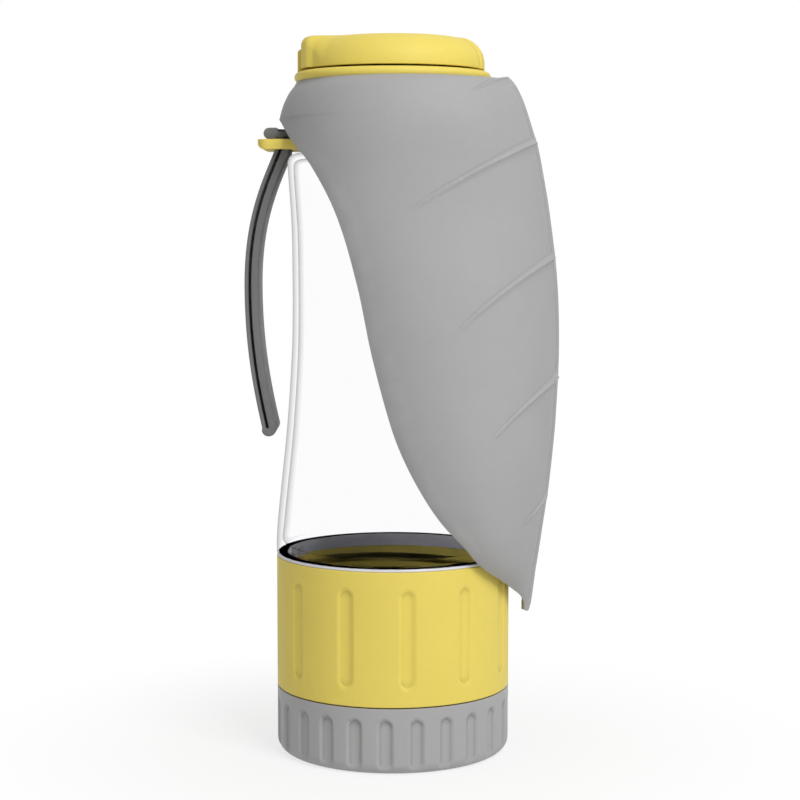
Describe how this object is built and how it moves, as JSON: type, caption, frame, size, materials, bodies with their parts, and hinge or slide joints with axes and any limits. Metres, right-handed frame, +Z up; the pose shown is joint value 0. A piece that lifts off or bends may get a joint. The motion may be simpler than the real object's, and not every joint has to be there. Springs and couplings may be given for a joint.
{
  "type": "dog travel water bottle",
  "caption": "Travel water bottle with a fold-out silicone leaf bowl, flip lid, carry strap and a screw-on food cup with its own screw lid.",
  "frame": {"origin": "centre of the base lid's flat underside", "axes": "+Z up along the bottle, +X towards the leaf's midrib, -X towards the lid hinge and the strap"},
  "size_m": [0.1002, 0.083, 0.2281],
  "materials": {
    "grey_plastic": "satin",
    "yellow_plastic": "satin",
    "clear_plastic": "clear polished",
    "leaf_silicone": "matt silicone",
    "strap_silicone": "matt silicone",
    "seal_silicone": "matt silicone",
    "pin_steel": "brushed"
  },
  "bodies": {
    "base_lid": {"base_lid": "grey_plastic"},
    "base_gasket": {"base_gasket": "seal_silicone"},
    "cup": {"food_cup": "yellow_plastic"},
    "cup_gasket": {"cup_gasket": "seal_silicone"},
    "bottle": {"bottle_body": "clear_plastic", "strap_ring": "yellow_plastic"},
    "cap_gasket": {"cap_gasket": "seal_silicone"},
    "cap": {"cap_base": "yellow_plastic"},
    "lid": {"flip_lid": "yellow_plastic", "hinge_pin": "pin_steel", "lid_seal": "seal_silicone"},
    "strap": {"carry_strap": "strap_silicone"},
    "leaf": {"leaf_bowl": "leaf_silicone"}
  },
  "joints": [
    {"name": "base_thread_rise", "type": "slide", "parent": "base_lid", "child": "base_gasket", "axis": [0, 0, 1], "range_m": [0, 0.006]},
    {"name": "base_thread_turn", "type": "hinge", "parent": "base_gasket", "child": "cup", "pos_m": [0, 0, 0.01], "axis": [0, 0, 1], "range_deg": [0, 540]},
    {"name": "cup_thread_rise", "type": "slide", "parent": "cup", "child": "cup_gasket", "axis": [0, 0, 1], "range_m": [0, 0.006]},
    {"name": "cup_thread_turn", "type": "hinge", "parent": "cup_gasket", "child": "bottle", "pos_m": [0, 0, 0.058], "axis": [0, 0, 1], "range_deg": [0, 540]},
    {"name": "cap_thread_rise", "type": "slide", "parent": "bottle", "child": "cap_gasket", "axis": [0, 0, 1], "range_m": [0, 0.006]},
    {"name": "cap_thread_turn", "type": "hinge", "parent": "cap_gasket", "child": "cap", "pos_m": [0, 0, 0.208], "axis": [0, 0, 1], "range_deg": [0, 540]},
    {"name": "lid_hinge", "type": "hinge", "parent": "cap", "child": "lid", "pos_m": [-0.0268, 0, 0.2213], "axis": [0, -1, 0], "range_deg": [0, 102]},
    {"name": "strap_swing", "type": "hinge", "parent": "bottle", "child": "strap", "pos_m": [-0.0352, 0, 0.1946], "axis": [0, 1, 0], "range_deg": [0, 90], "deforming": ["carry_strap"]},
    {"name": "leaf_lift", "type": "hinge", "parent": "bottle", "child": "leaf", "pos_m": [0.036, 0, 0.211], "axis": [0, -1, 0], "range_deg": [0, 60], "deforming": ["leaf_bowl"]}
  ],
  "couplings": [
    {"joint": "base_thread_rise", "follows": "base_thread_turn", "m_per_rad": 0.0006366},
    {"joint": "cup_thread_rise", "follows": "cup_thread_turn", "m_per_rad": 0.0006366},
    {"joint": "cap_thread_rise", "follows": "cap_thread_turn", "m_per_rad": 0.0006366}
  ]
}
